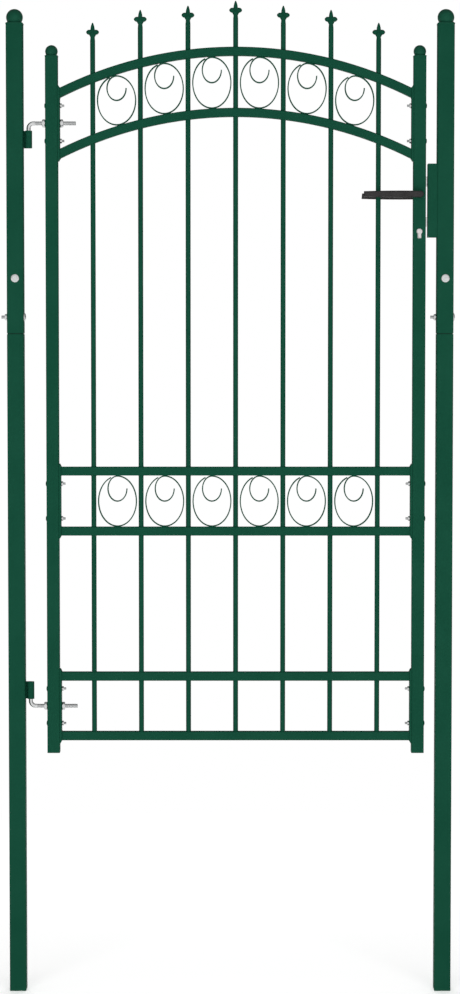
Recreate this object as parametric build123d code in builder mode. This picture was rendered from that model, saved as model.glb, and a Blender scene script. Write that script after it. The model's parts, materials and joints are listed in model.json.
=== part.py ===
from build123d import *
import os
from math import asin, cos, degrees, sin, sqrt

# Arched garden gate of welded square tube between two posts, in millimetres.
# The origin is the centre of the hinge post's foot, +X runs to the lock post,
# +Y away from the side with the photographed face, and +Z is up.

# Posts: two lengths of square tube each, joined over an inner sleeve
POST_SIZE = 40.0
POST_WALL = 1.5
POST_CORNER = 3.0
POST_JOINT_Z = 1595.0
POST_JOINT_GAP = 1.6
POST_TOP_Z = 2333.0
CLEAR_WIDTH = 991.0
SLEEVE_BELOW = 100.0
SLEEVE_ABOVE = 170.0
SLEEVE_WALL = 2.0
FOOT_CAP_HEIGHT = 5.0
FOOT_CAP_ROUND = 2.0

# Caps: a ball on a square collar, with a plug that fits inside the tube
POST_BALL_DIAMETER = 40.0
STILE_BALL_DIAMETER = 30.0
PLUG_DEPTH = 16.0
PLUG_CLEARANCE = 0.2
BALL_CENTRE_SHARE = 0.82
NECK_DROP_SHARE = 0.55
NECK_RADIUS_SHARE = 0.78
COLLAR_RISE_SHARE = 0.23
COLLAR_TOP_SHARE = 0.84
LIP_OVERHANG = 0.7
LIP_RISE_SHARE = 0.1

# Leaf frame
HINGE_GAP = 53.0
LOCK_GAP = 27.0
STILE_SIZE = 30.0
STILE_WALL = 1.5
STILE_CORNER = 2.5
STILE_BOTTOM_Z = 582.0
STILE_TOP_Z = 2256.5

# Welded infill: rail pairs between end plates
RAIL_SIZE = 21.0
RAIL_WALL = 1.5
RAIL_CORNER = 2.0
RAIL_PITCH = 145.0
ARCH_RADIUS = 948.0
BASE_PANEL_Z = 695.0
MIDDLE_PANEL_Z = 1192.0
ARCH_PANEL_Z = 2097.8
PLATE_THICKNESS = 4.5
PLATE_OVERHANG = 7.0
PLATE_END_THICKNESS = 1.8
PLATE_TAPER_LENGTH = 5.0

# Pickets and their cast spear heads
PICKET_COUNT = 7
PICKET_END_GAP = 83.5
PICKET_DIAMETER = 12.0
PICKET_WALL = 1.2
PICKET_CLEARANCE = 0.15
ARMS_ABOVE_APEX = 97.7
FIRST_ARMS_DROP = 11.7
SECOND_ARMS_DROP = 21.5
THIRD_ARMS_DROP = 52.2
HEAD_ABOVE_ARMS = 22.3
HEAD_BELOW_ARMS = 20.0
HEAD_WIDTH = 31.0
ARM_DIAMETER = 12.0
ARM_SHOULDER_SHARE = 0.45
BLADE_DIAMETER = 10.6
BLADE_MIDDLE_DIAMETER = 8.2
BLADE_FOOT_SHARE = 0.25
WAIST_DIAMETER = 10.4
WAIST_SHARE = 0.6
HEAD_BELLY_DIAMETER = 18.0
HEAD_BELLY_SHARE = 0.25
TIP_DIAMETER = 2.2

# Scrolls: one bent strip each, a large oval and a half-size oval inside it
SCROLL_SIDE_GAP = 4.0
SCROLL_STRIP = 2.7
SCROLL_DEPTH = 12.0
SCROLL_CLEARANCE = 0.2
SCROLL_END_GAP_DEG = 20.0
SCROLL_INNER_ARC_DEG = 270.0
OVAL_INNER_SHARE = 0.5

# Hinges: bent rods through the hinge stile, turning in sockets on the post
ROD_DIAMETER = 10.0
ROD_BEND_RADIUS = 12.0
ROD_CLEARANCE = 0.2
ROD_BEYOND_STILE = 42.5
SOCKET_DIAMETER = 17.0
SOCKET_STANDOFF = 4.0
SOCKET_LENGTH = 41.5
SOCKET_OFFSET = 17.5
SOCKET_WEB = 4.0
PIN_CLEARANCE = 0.05
PIN_SHORT_OF_END = 3.0
NUT_FLATS = 17.0
NUT_HEIGHT = 8.0
NUT_CLEARANCE = 0.1

# Lock: narrow case in the lock stile, with latch, dead bolt and cylinder
LEVER_Z = 1927.0
CYLINDER_DROP = 87.5
CYLINDER_DIAMETER = 11.5
CYLINDER_TAIL_WIDTH = 6.5
CYLINDER_HEIGHT = 20.5
CYLINDER_PROUD = 3.0
CYLINDER_CLEARANCE = 0.2
CYLINDER_SURROUND = 1.5
KEYWAY_WIDTH = 1.4
KEYWAY_HEIGHT = 6.0
KEYWAY_DEPTH = 1.5
CASE_BOTTOM_Z = 1806.0
CASE_TOP_Z = 1984.0
CASE_THICKNESS = 18.0
CASE_DEPTH = 25.0
FOREND_WIDTH = 22.0
FOREND_MARGIN = 12.0
FOREND_THICKNESS = 2.5
FOREND_CLEARANCE = 0.2
SLIDE_CLEARANCE = 0.3
LATCH_BOTTOM_Z = 1947.0
LATCH_HEIGHT = 24.0
LATCH_THICKNESS = 12.0
LATCH_LENGTH = 18.0
LATCH_PROUD = 3.5
LATCH_BEVEL = 0.5
DEAD_BOLT_BOTTOM_Z = 1851.5
DEAD_BOLT_HEIGHT = 23.0
DEAD_BOLT_THICKNESS = 11.0
DEAD_BOLT_LENGTH = 25.0
DEAD_BOLT_PROUD = 3.0

# Lever handles on both faces, on one square spindle
SPINDLE_SIZE = 8.0
SPINDLE_HOLE_CLEARANCE = 0.4
SPINDLE_FIT = 0.1
SPINDLE_IN_LEVER = 18.0
LEVER_LENGTH = 136.0
LEVER_ROOT_HEIGHT = 15.0
LEVER_MIDDLE_HEIGHT = 15.8
LEVER_TIP_HEIGHT = 13.0
LEVER_TIP_SLANT = 1.0
LEVER_THICKNESS = 11.0
LEVER_STANDOFF = 28.0
LEVER_NECK_DIAMETER = 14.0
LEVER_GAP = 0.5
LEVER_FRONT_ROUND = 4.5
LEVER_BACK_ROUND = 2.0

# Keeper: folded channel on the lock post, with a pocket for each bolt
KEEPER_GAP = 5.0
KEEPER_BOTTOM_Z = 1826.0
KEEPER_TOP_Z = 2001.2
KEEPER_WALL = 2.5
POCKET_CLEARANCE = 2.0

# One overrun serves all cuts
CUT_OVERRUN = 5.0

# Places along X that follow from the sizes
POST_SPACING = CLEAR_WIDTH + POST_SIZE
POST_INNER_X = POST_SIZE / 2
LOCK_POST_INNER_X = POST_INNER_X + CLEAR_WIDTH
HINGE_STILE_X = POST_INNER_X + HINGE_GAP + STILE_SIZE / 2
LOCK_STILE_X = LOCK_POST_INNER_X - LOCK_GAP - STILE_SIZE / 2
LOCK_STILE_OUTER_X = LOCK_STILE_X + STILE_SIZE / 2
LEAF_X = (HINGE_STILE_X + LOCK_STILE_X) / 2
RAIL_START_X = HINGE_STILE_X + STILE_SIZE / 2 + PLATE_THICKNESS
RAIL_END_X = LOCK_STILE_X - STILE_SIZE / 2 - PLATE_THICKNESS
PLATE_LENGTH = RAIL_PITCH + RAIL_SIZE + 2 * PLATE_OVERHANG
HINGE_AXIS_X = POST_INNER_X + SOCKET_STANDOFF + SOCKET_DIAMETER / 2
OUTER_PICKETS_SPAN = LOCK_STILE_X - HINGE_STILE_X - STILE_SIZE - 2 * PICKET_END_GAP
PICKET_PITCH = OUTER_PICKETS_SPAN / (PICKET_COUNT - 1)
SCROLL_WIDTH = PICKET_PITCH - PICKET_DIAMETER - 2 * SCROLL_SIDE_GAP
PICKET_XS = [LEAF_X + PICKET_PITCH * (i - (PICKET_COUNT - 1) / 2) for i in range(PICKET_COUNT)]

# Heights that follow from the sizes
ARCH_RISE = ARCH_RADIUS - sqrt(ARCH_RADIUS**2 - ((RAIL_END_X - RAIL_START_X) / 2) ** 2)
UPPER_ARCH_APEX_Z = ARCH_PANEL_Z + RAIL_PITCH / 2 + ARCH_RISE
LOWER_ARCH_APEX_Z = UPPER_ARCH_APEX_Z - RAIL_PITCH
MIDDLE_ARMS_Z = UPPER_ARCH_APEX_Z + ARMS_ABOVE_APEX
LOWER_BASE_RAIL_Z = BASE_PANEL_Z - RAIL_PITCH / 2
PICKET_FOOT_Z = LOWER_BASE_RAIL_Z - RAIL_SIZE / 2 + RAIL_WALL
CYLINDER_Z = LEVER_Z - CYLINDER_DROP

os.makedirs("parts", exist_ok=True)


def save(piece, name):
    """Label one finished piece and write it as its own file."""
    piece.part.label = name
    export_step(piece.part, f"parts/{name}.step")


def upright_tube(size, wall, corner, x, bottom, top):
    """Square tube standing at x, from bottom to top."""
    with BuildPart() as tube:
        with BuildSketch(Plane.XY.offset(bottom)):
            with Locations((x, 0)):
                RectangleRounded(size, size, corner)
                RectangleRounded(size - 2 * wall, size - 2 * wall, corner - wall, mode=Mode.SUBTRACT)
        extrude(amount=top - bottom)
    return tube


def ball_cap(x, tube_size, wall, corner, ball_diameter, tube_top):
    """Ball on a square collar with a lip over the tube's edge, and a plug inside the tube."""
    ball_radius = ball_diameter / 2
    centre_z = tube_top + ball_radius * BALL_CENTRE_SHARE
    neck_z = centre_z - ball_radius * NECK_DROP_SHARE
    neck_radius = ball_radius * NECK_RADIUS_SHARE
    lip_height = ball_radius * LIP_RISE_SHARE
    collar_top = tube_top + ball_radius * COLLAR_RISE_SHARE
    cut_radius = sqrt(ball_radius**2 - (centre_z - neck_z) ** 2)
    neck_angle = degrees(asin(NECK_DROP_SHARE))
    plug_size = tube_size - 2 * wall - 2 * PLUG_CLEARANCE
    lip_size = tube_size + 2 * LIP_OVERHANG
    top_size = tube_size * COLLAR_TOP_SHARE
    with BuildPart() as cap:
        with BuildSketch(Plane.XY.offset(tube_top - PLUG_DEPTH)):
            with Locations((x, 0)):
                RectangleRounded(plug_size, plug_size, corner - wall)
        extrude(amount=PLUG_DEPTH)
        with BuildSketch(Plane.XY.offset(tube_top)):
            with Locations((x, 0)):
                RectangleRounded(lip_size, lip_size, corner + LIP_OVERHANG)
        extrude(amount=lip_height)
        with BuildSketch(Plane.XY.offset(tube_top + lip_height)):
            with Locations((x, 0)):
                RectangleRounded(tube_size, tube_size, corner)
        with BuildSketch(Plane.XY.offset(collar_top)):
            with Locations((x, 0)):
                RectangleRounded(top_size, top_size, corner * COLLAR_TOP_SHARE)
        loft()
        with BuildSketch(Plane.XZ):
            with BuildLine():
                Polyline(
                    (x, centre_z + ball_radius),
                    (x, tube_top),
                    (x + neck_radius, tube_top),
                    (x + neck_radius, neck_z),
                    (x + cut_radius, neck_z),
                )
                CenterArc((x, centre_z), ball_radius, -neck_angle, 90 + neck_angle)
            make_face()
        revolve(axis=Axis((x, 0, 0), (0, 0, 1)))
    return cap


def foot_cap(x):
    """Cap that closes the post's buried end, rounded at its lower edges."""
    plug_size = POST_SIZE - 2 * POST_WALL - 2 * PLUG_CLEARANCE
    with BuildPart() as cap:
        with BuildSketch():
            with Locations((x, 0)):
                RectangleRounded(POST_SIZE, POST_SIZE, POST_CORNER)
        extrude(amount=FOOT_CAP_HEIGHT)
        fillet(cap.faces().sort_by(Axis.Z)[0].edges(), radius=FOOT_CAP_ROUND)
        with BuildSketch(Plane.XY.offset(FOOT_CAP_HEIGHT)):
            with Locations((x, 0)):
                RectangleRounded(plug_size, plug_size, POST_CORNER - POST_WALL)
        extrude(amount=PLUG_DEPTH)
    return cap


# Posts
for post, x in (("hinge_post", 0.0), ("lock_post", POST_SPACING)):
    lower_top = POST_JOINT_Z - POST_JOINT_GAP / 2
    lower_tube = upright_tube(POST_SIZE, POST_WALL, POST_CORNER, x, FOOT_CAP_HEIGHT, lower_top)
    save(lower_tube, f"{post}_lower_tube")
    upper_bottom = POST_JOINT_Z + POST_JOINT_GAP / 2
    upper_tube = upright_tube(POST_SIZE, POST_WALL, POST_CORNER, x, upper_bottom, POST_TOP_Z)
    save(upper_tube, f"{post}_upper_tube")
    sleeve_size = POST_SIZE - 2 * POST_WALL - 2 * PLUG_CLEARANCE
    sleeve = upright_tube(
        sleeve_size,
        SLEEVE_WALL,
        SLEEVE_WALL * 2,
        x,
        POST_JOINT_Z - SLEEVE_BELOW,
        POST_JOINT_Z + SLEEVE_ABOVE,
    )
    save(sleeve, f"{post}_sleeve")
    save(foot_cap(x), f"{post}_foot_cap")
    cap = ball_cap(x, POST_SIZE, POST_WALL, POST_CORNER, POST_BALL_DIAMETER, POST_TOP_Z)
    save(cap, f"{post}_ball_cap")


def hinge_socket(bottom):
    """Short round tube welded to the post by a filled seam down its back."""
    with BuildPart() as socket:
        with BuildSketch(Plane.XY.offset(bottom)):
            with Locations((HINGE_AXIS_X, 0)):
                Circle(SOCKET_DIAMETER / 2)
            with Locations((POST_INNER_X, SOCKET_DIAMETER / 2)):
                Rectangle(HINGE_AXIS_X - POST_INNER_X, SOCKET_WEB, align=(Align.MIN, Align.MAX))
            with Locations((HINGE_AXIS_X, 0)):
                Circle(ROD_DIAMETER / 2 + PIN_CLEARANCE, mode=Mode.SUBTRACT)
        extrude(amount=SOCKET_LENGTH)
    return socket


UPPER_SOCKET_TOP_Z = ARCH_PANEL_Z - SOCKET_OFFSET
UPPER_SOCKET_BOTTOM_Z = UPPER_SOCKET_TOP_Z - SOCKET_LENGTH
LOWER_SOCKET_BOTTOM_Z = BASE_PANEL_Z + SOCKET_OFFSET
save(hinge_socket(UPPER_SOCKET_BOTTOM_Z), "upper_hinge_socket")
save(hinge_socket(LOWER_SOCKET_BOTTOM_Z), "lower_hinge_socket")


def hinge_rod(rod_z, pin_end_z):
    """Rod through the stile, bent at a right angle into the pin of the hinge."""
    with BuildPart() as rod:
        with BuildLine() as path:
            FilletPolyline(
                (HINGE_AXIS_X, 0, pin_end_z),
                (HINGE_AXIS_X, 0, rod_z),
                (HINGE_STILE_X + STILE_SIZE / 2 + ROD_BEYOND_STILE, 0, rod_z),
                radius=ROD_BEND_RADIUS,
            )
        with BuildSketch(Plane(origin=path.line @ 0, z_dir=path.line % 0)):
            Circle(ROD_DIAMETER / 2)
        sweep(path=path.line)
    return rod


save(hinge_rod(ARCH_PANEL_Z, UPPER_SOCKET_BOTTOM_Z + PIN_SHORT_OF_END), "upper_hinge_rod")
save(hinge_rod(BASE_PANEL_Z, LOWER_SOCKET_BOTTOM_Z + SOCKET_LENGTH - PIN_SHORT_OF_END), "lower_hinge_rod")

# Nuts on both sides of the hinge stile
with BuildPart() as hinge_nuts:
    for rod_z in (BASE_PANEL_Z, ARCH_PANEL_Z):
        for start_x in (HINGE_STILE_X - STILE_SIZE / 2 - NUT_HEIGHT, RAIL_START_X):
            with BuildSketch(Plane.YZ.offset(start_x)):
                with Locations((0, rod_z)):
                    RegularPolygon(NUT_FLATS / 2, 6, major_radius=False)
                    Circle(ROD_DIAMETER / 2 + NUT_CLEARANCE, mode=Mode.SUBTRACT)
            extrude(amount=NUT_HEIGHT)
save(hinge_nuts, "hinge_nuts")

# Hinge stile, drilled for the two rods
with BuildPart() as hinge_stile:
    with BuildSketch(Plane.XY.offset(STILE_BOTTOM_Z)):
        with Locations((HINGE_STILE_X, 0)):
            RectangleRounded(STILE_SIZE, STILE_SIZE, STILE_CORNER)
            inner_size = STILE_SIZE - 2 * STILE_WALL
            RectangleRounded(inner_size, inner_size, STILE_CORNER - STILE_WALL, mode=Mode.SUBTRACT)
    extrude(amount=STILE_TOP_Z - STILE_BOTTOM_Z)
    with Locations(*[Plane.YZ.offset(HINGE_STILE_X) * Pos(0, z) for z in (BASE_PANEL_Z, ARCH_PANEL_Z)]):
        Cylinder(ROD_DIAMETER / 2 + ROD_CLEARANCE, STILE_SIZE + CUT_OVERRUN, mode=Mode.SUBTRACT)
save(hinge_stile, "hinge_stile")


def cylinder_profile(clearance):
    """Outline of the profile cylinder: a round plug over a narrow tail, in the current sketch."""
    tail_height = CYLINDER_HEIGHT - CYLINDER_DIAMETER / 2
    with Locations((LOCK_STILE_X, CYLINDER_Z)):
        Circle(CYLINDER_DIAMETER / 2 + clearance)
        tail_width = CYLINDER_TAIL_WIDTH + 2 * clearance
        Rectangle(tail_width, tail_height + clearance, align=(Align.CENTER, Align.MAX))


# Lock stile, cut for the forend, the spindle and the cylinder
with BuildPart() as lock_stile:
    with BuildSketch(Plane.XY.offset(STILE_BOTTOM_Z)):
        with Locations((LOCK_STILE_X, 0)):
            RectangleRounded(STILE_SIZE, STILE_SIZE, STILE_CORNER)
            inner_size = STILE_SIZE - 2 * STILE_WALL
            RectangleRounded(inner_size, inner_size, STILE_CORNER - STILE_WALL, mode=Mode.SUBTRACT)
    extrude(amount=STILE_TOP_Z - STILE_BOTTOM_Z)
    with BuildSketch(Plane.XZ):
        with Locations((LOCK_STILE_X, LEVER_Z)):
            Circle(SPINDLE_SIZE * sqrt(2) / 2 + SPINDLE_HOLE_CLEARANCE)
        cylinder_profile(CYLINDER_SURROUND)
    extrude(amount=STILE_SIZE, both=True, mode=Mode.SUBTRACT)
    with BuildSketch(Plane.YZ.offset(LOCK_STILE_X)):
        with Locations((0, (CASE_BOTTOM_Z + CASE_TOP_Z) / 2)):
            forend_height = CASE_TOP_Z - CASE_BOTTOM_Z + 2 * FOREND_MARGIN + 2 * FOREND_CLEARANCE
            Rectangle(FOREND_WIDTH + 2 * FOREND_CLEARANCE, forend_height)
    extrude(amount=STILE_SIZE, mode=Mode.SUBTRACT)
save(lock_stile, "lock_stile")

for stile, x in (("hinge_stile", HINGE_STILE_X), ("lock_stile", LOCK_STILE_X)):
    cap = ball_cap(x, STILE_SIZE, STILE_WALL, STILE_CORNER, STILE_BALL_DIAMETER, STILE_TOP_Z)
    save(cap, f"{stile}_ball_cap")


def rail_section():
    """Hollow square section of a rail, in the current sketch."""
    inner_size = RAIL_SIZE - 2 * RAIL_WALL
    RectangleRounded(RAIL_SIZE, RAIL_SIZE, RAIL_CORNER)
    RectangleRounded(inner_size, inner_size, RAIL_CORNER - RAIL_WALL, mode=Mode.SUBTRACT)


def straight_rail(z, bottom_wall_whole):
    """Level rail between the end plates, punched for the pickets."""
    hole_bottom = z if bottom_wall_whole else z - RAIL_SIZE
    with BuildPart() as rail:
        with BuildSketch(Plane.YZ.offset(RAIL_START_X)):
            with Locations((0, z)):
                rail_section()
        extrude(amount=RAIL_END_X - RAIL_START_X)
        with BuildSketch(Plane.XY.offset(hole_bottom)):
            with Locations(*[(x, 0) for x in PICKET_XS]):
                Circle(PICKET_DIAMETER / 2 + PICKET_CLEARANCE)
        extrude(amount=z + RAIL_SIZE - hole_bottom, mode=Mode.SUBTRACT)
    return rail


save(straight_rail(LOWER_BASE_RAIL_Z, True), "lower_base_rail")
save(straight_rail(LOWER_BASE_RAIL_Z + RAIL_PITCH, False), "upper_base_rail")
save(straight_rail(MIDDLE_PANEL_Z - RAIL_PITCH / 2, False), "lower_middle_rail")
save(straight_rail(MIDDLE_PANEL_Z + RAIL_PITCH / 2, False), "upper_middle_rail")


def arch_rail(apex_z):
    """Rolled rail, cut off upright at the end plates and punched for the pickets."""
    half_span = (RAIL_END_X - RAIL_START_X) / 2
    centre_z = apex_z - ARCH_RADIUS
    half_angle = asin((half_span + RAIL_SIZE) / ARCH_RADIUS)
    start = (LEAF_X - ARCH_RADIUS * sin(half_angle), 0, centre_z + ARCH_RADIUS * cos(half_angle))
    start_plane = Plane(origin=start, x_dir=(0, 1, 0), z_dir=(cos(half_angle), 0, sin(half_angle)))
    with BuildPart() as rail:
        with BuildSketch(start_plane):
            rail_section()
        revolve(axis=Axis((LEAF_X, 0, centre_z), (0, 1, 0)), revolution_arc=2 * degrees(half_angle))
        split(bisect_by=Plane.YZ.offset(RAIL_START_X), keep=Keep.TOP)
        split(bisect_by=Plane.YZ.offset(RAIL_END_X), keep=Keep.BOTTOM)
        with BuildSketch(Plane.XY.offset(apex_z - ARCH_RISE - RAIL_PITCH / 2)):
            with Locations(*[(x, 0) for x in PICKET_XS]):
                Circle(PICKET_DIAMETER / 2 + PICKET_CLEARANCE)
        extrude(amount=ARCH_RISE + RAIL_PITCH, mode=Mode.SUBTRACT)
    return rail


save(arch_rail(LOWER_ARCH_APEX_Z), "lower_arch_rail")
save(arch_rail(UPPER_ARCH_APEX_Z), "upper_arch_rail")


def end_plates(face_x, inward):
    """Three plates that bolt the rail pairs to one stile, thinned at the ends; inward is 1 or -1 along X."""
    panel_x = face_x + inward * PLATE_THICKNESS
    end_x = face_x + inward * PLATE_END_THICKNESS
    with BuildPart() as plates:
        with BuildSketch(Plane.XZ):
            for z in (BASE_PANEL_Z, MIDDLE_PANEL_Z, ARCH_PANEL_Z):
                bottom = z - PLATE_LENGTH / 2
                top = z + PLATE_LENGTH / 2
                with BuildLine():
                    Polyline(
                        (face_x, bottom),
                        (end_x, bottom),
                        (panel_x, bottom + PLATE_TAPER_LENGTH),
                        (panel_x, top - PLATE_TAPER_LENGTH),
                        (end_x, top),
                        (face_x, top),
                        close=True,
                    )
                make_face()
        extrude(amount=STILE_SIZE / 2, both=True)
        if inward > 0:
            centre_x = face_x + PLATE_THICKNESS / 2
            with Locations(*[Plane.YZ.offset(centre_x) * Pos(0, z) for z in (BASE_PANEL_Z, ARCH_PANEL_Z)]):
                Cylinder(ROD_DIAMETER / 2 + ROD_CLEARANCE, PLATE_THICKNESS + CUT_OVERRUN, mode=Mode.SUBTRACT)
    return plates


save(end_plates(HINGE_STILE_X + STILE_SIZE / 2, 1), "hinge_side_plates")
save(end_plates(LOCK_STILE_X - STILE_SIZE / 2, -1), "lock_side_plates")


def picket(x, arms_z):
    """Round tube with a closed spear head: stem, two side arms and a pointed blade."""
    tube_top = arms_z - HEAD_BELOW_ARMS
    radius = PICKET_DIAMETER / 2
    blade_foot_z = arms_z + HEAD_ABOVE_ARMS * BLADE_FOOT_SHARE
    tip_z = arms_z + HEAD_ABOVE_ARMS
    arm_end = HEAD_WIDTH / 2
    arm_shoulder = arm_end * ARM_SHOULDER_SHARE
    arm_bend = arm_shoulder + (arm_end - arm_shoulder) * sqrt(2) / 2
    arm_bend_z = arms_z + ARM_DIAMETER / 2 * sqrt(2) / 2
    arm_top_z = arms_z + ARM_DIAMETER / 2
    with BuildPart() as bar:
        with BuildSketch(Plane.XY.offset(PICKET_FOOT_Z)):
            with Locations((x, 0)):
                Circle(radius)
                Circle(radius - PICKET_WALL, mode=Mode.SUBTRACT)
        extrude(amount=tube_top - PICKET_FOOT_Z)
        with BuildSketch(Plane.XZ):
            with BuildLine():
                blade_foot = (x + BLADE_DIAMETER / 2, blade_foot_z)
                blade_middle = (x + BLADE_MIDDLE_DIAMETER / 2, (blade_foot_z + tip_z) / 2)
                blade_tip = (x + TIP_DIAMETER / 2, tip_z)
                ThreePointArc(blade_foot, blade_middle, blade_tip)
                Polyline(
                    blade_tip,
                    (x, tip_z),
                    (x, tube_top - radius),
                    (x + radius, tube_top - radius),
                    (x + radius, tube_top),
                    (x + WAIST_DIAMETER / 2, arms_z - HEAD_BELOW_ARMS * WAIST_SHARE),
                    (x + HEAD_BELLY_DIAMETER / 2, arms_z - HEAD_BELOW_ARMS * HEAD_BELLY_SHARE),
                    blade_foot,
                )
            make_face()
        revolve(axis=Axis((x, 0, 0), (0, 0, 1)))
        with BuildSketch(Plane.XZ):
            with BuildLine():
                left_shoulder = (x - arm_shoulder, arm_top_z)
                right_shoulder = (x + arm_shoulder, arm_top_z)
                ThreePointArc((x - arm_end, arms_z), (x - arm_bend, arm_bend_z), left_shoulder)
                Line(left_shoulder, right_shoulder)
                ThreePointArc(right_shoulder, (x + arm_bend, arm_bend_z), (x + arm_end, arms_z))
                Line((x + arm_end, arms_z), (x - arm_end, arms_z))
            make_face()
        revolve(axis=Axis((x, 0, arms_z), (1, 0, 0)))
    return bar


ARMS_DROPS = (0.0, FIRST_ARMS_DROP, SECOND_ARMS_DROP, THIRD_ARMS_DROP)
for number, x in enumerate(PICKET_XS, start=1):
    steps_from_middle = abs(number - 1 - PICKET_COUNT // 2)
    save(picket(x, MIDDLE_ARMS_Z - ARMS_DROPS[steps_from_middle]), f"picket_{number}")


def scroll_sketch(x, centre_z, height):
    """One bent strip seen from the front, centred at x and centre_z in the current sketch."""
    half_width = (SCROLL_WIDTH - SCROLL_STRIP) / 2
    half_height = (height - SCROLL_STRIP) / 2
    inner_centre_z = centre_z + half_height * (1 - OVAL_INNER_SHARE)
    with BuildLine() as strip:
        EllipticalCenterArc(
            (x, inner_centre_z),
            half_width * OVAL_INNER_SHARE,
            half_height * OVAL_INNER_SHARE,
            90,
            arc_size=SCROLL_INNER_ARC_DEG,
        )
        EllipticalCenterArc(
            (x, centre_z),
            half_width,
            half_height,
            90 + SCROLL_END_GAP_DEG,
            arc_size=360 - SCROLL_END_GAP_DEG,
        )
    trace(strip.line, line_width=SCROLL_STRIP)


BAY_XS = [x + PICKET_PITCH / 2 for x in PICKET_XS[:-1]]

with BuildPart() as middle_scrolls:
    for x in BAY_XS:
        with BuildSketch(Plane.XZ):
            scroll_sketch(x, MIDDLE_PANEL_Z, RAIL_PITCH - RAIL_SIZE - 2 * SCROLL_CLEARANCE)
        extrude(amount=SCROLL_DEPTH / 2, both=True)
save(middle_scrolls, "middle_scrolls")


def arch_bay(x):
    """Centre height of the space between the arched rails at x, and the oval height that fits its slope."""
    off_centre = x - LEAF_X
    upper_face = UPPER_ARCH_APEX_Z - ARCH_RADIUS + sqrt((ARCH_RADIUS - RAIL_SIZE / 2) ** 2 - off_centre**2)
    lower_face = LOWER_ARCH_APEX_Z - ARCH_RADIUS + sqrt((ARCH_RADIUS + RAIL_SIZE / 2) ** 2 - off_centre**2)
    slope = off_centre / sqrt((ARCH_RADIUS - RAIL_SIZE / 2) ** 2 - off_centre**2)
    half_space = (upper_face - lower_face) / 2
    half_oval = sqrt(half_space**2 - (slope * SCROLL_WIDTH / 2) ** 2)
    return (upper_face + lower_face) / 2, 2 * half_oval - 2 * SCROLL_CLEARANCE


with BuildPart() as arch_scrolls:
    for x in BAY_XS:
        bay_centre_z, oval_height = arch_bay(x)
        with BuildSketch(Plane.XZ):
            scroll_sketch(x, bay_centre_z, oval_height)
        extrude(amount=SCROLL_DEPTH / 2, both=True)
save(arch_scrolls, "arch_scrolls")

# Lock case: a block behind its forend, with slots for the bolts and holes for spindle and cylinder
FOREND_INNER_X = LOCK_STILE_OUTER_X - FOREND_THICKNESS
LATCH_TAIL_X = LOCK_STILE_OUTER_X - LATCH_LENGTH
DEAD_BOLT_TAIL_X = LOCK_STILE_OUTER_X + DEAD_BOLT_PROUD - DEAD_BOLT_LENGTH
with BuildPart() as lock_case:
    with Locations((LOCK_STILE_OUTER_X - FOREND_THICKNESS / 2, 0, (CASE_BOTTOM_Z + CASE_TOP_Z) / 2)):
        Box(FOREND_THICKNESS, FOREND_WIDTH, CASE_TOP_Z - CASE_BOTTOM_Z + 2 * FOREND_MARGIN)
    block_depth = CASE_DEPTH - FOREND_THICKNESS
    with Locations((FOREND_INNER_X - block_depth / 2, 0, (CASE_BOTTOM_Z + CASE_TOP_Z) / 2)):
        Box(block_depth, CASE_THICKNESS, CASE_TOP_Z - CASE_BOTTOM_Z)
    with BuildSketch(Plane.XZ):
        with Locations((LOCK_STILE_X, LEVER_Z)):
            Circle(SPINDLE_SIZE * sqrt(2) / 2 + SPINDLE_HOLE_CLEARANCE)
        cylinder_profile(CYLINDER_CLEARANCE)
    extrude(amount=STILE_SIZE, both=True, mode=Mode.SUBTRACT)
    for bottom, height, thickness, tail_x in (
        (LATCH_BOTTOM_Z, LATCH_HEIGHT, LATCH_THICKNESS, LATCH_TAIL_X),
        (DEAD_BOLT_BOTTOM_Z, DEAD_BOLT_HEIGHT, DEAD_BOLT_THICKNESS, DEAD_BOLT_TAIL_X),
    ):
        with BuildSketch(Plane.YZ.offset(tail_x - SLIDE_CLEARANCE)):
            with Locations((0, bottom + height / 2)):
                Rectangle(thickness + 2 * SLIDE_CLEARANCE, height + 2 * SLIDE_CLEARANCE)
        extrude(amount=LATCH_LENGTH + DEAD_BOLT_LENGTH, mode=Mode.SUBTRACT)
save(lock_case, "lock_case")

# Latch bolt, bevelled on the side that meets the keeper when the leaf closes
with BuildPart() as latch_bolt:
    nose_x = LOCK_STILE_OUTER_X + LATCH_PROUD
    with Locations((nose_x - LATCH_LENGTH / 2, 0, LATCH_BOTTOM_Z + LATCH_HEIGHT / 2)):
        Box(LATCH_LENGTH, LATCH_THICKNESS, LATCH_HEIGHT)
    nose = latch_bolt.edges().filter_by(Axis.Z).group_by(Axis.X)[-1].sort_by(Axis.Y)[0]
    chamfer(nose, length=LATCH_BEVEL)
save(latch_bolt, "latch_bolt")

# Dead bolt, drawn back until only its nose stands out of the forend
with BuildPart() as dead_bolt:
    nose_x = LOCK_STILE_OUTER_X + DEAD_BOLT_PROUD
    with Locations((nose_x - DEAD_BOLT_LENGTH / 2, 0, DEAD_BOLT_BOTTOM_Z + DEAD_BOLT_HEIGHT / 2)):
        Box(DEAD_BOLT_LENGTH, DEAD_BOLT_THICKNESS, DEAD_BOLT_HEIGHT)
save(dead_bolt, "dead_bolt")

# Profile cylinder with a keyway in each end
with BuildPart() as lock_cylinder:
    with BuildSketch(Plane.XZ):
        cylinder_profile(0)
    extrude(amount=STILE_SIZE / 2 + CYLINDER_PROUD, both=True)
    for end_y in (-STILE_SIZE / 2 - CYLINDER_PROUD, STILE_SIZE / 2 + CYLINDER_PROUD):
        with Locations((LOCK_STILE_X, end_y, CYLINDER_Z)):
            Box(KEYWAY_WIDTH, 2 * KEYWAY_DEPTH, KEYWAY_HEIGHT, mode=Mode.SUBTRACT)
save(lock_cylinder, "lock_cylinder")

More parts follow.
